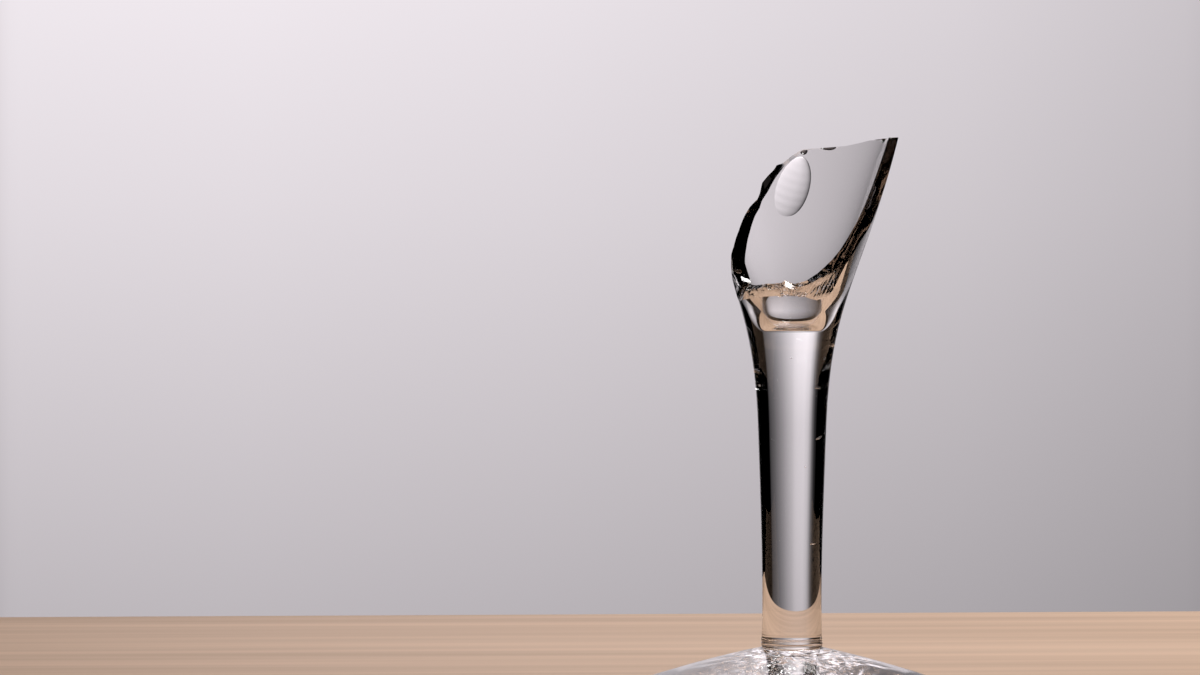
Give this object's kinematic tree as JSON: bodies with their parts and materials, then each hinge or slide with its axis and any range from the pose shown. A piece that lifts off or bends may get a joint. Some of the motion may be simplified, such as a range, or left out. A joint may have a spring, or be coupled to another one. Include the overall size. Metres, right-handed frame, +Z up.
{
  "type": "broken wine glass",
  "caption": "Lower part of a broken stemmed wine glass: round domed foot, thick solid stem and a jagged shard of the flared bowl still standing.",
  "frame": {"origin": "centre of the foot's underside, on the surface the glass stands on", "axes": "+Z up along the axis of the glass; the bowl is broken low at -Y (front) and its tall shard stands at +Y and +X"},
  "size_m": [0.068, 0.068, 0.1173],
  "materials": {
    "clear_glass": "clear polished glass with fresh broken edges"
  },
  "bodies": {
    "root": {"wine_glass": "clear_glass"}
  },
  "joints": []
}
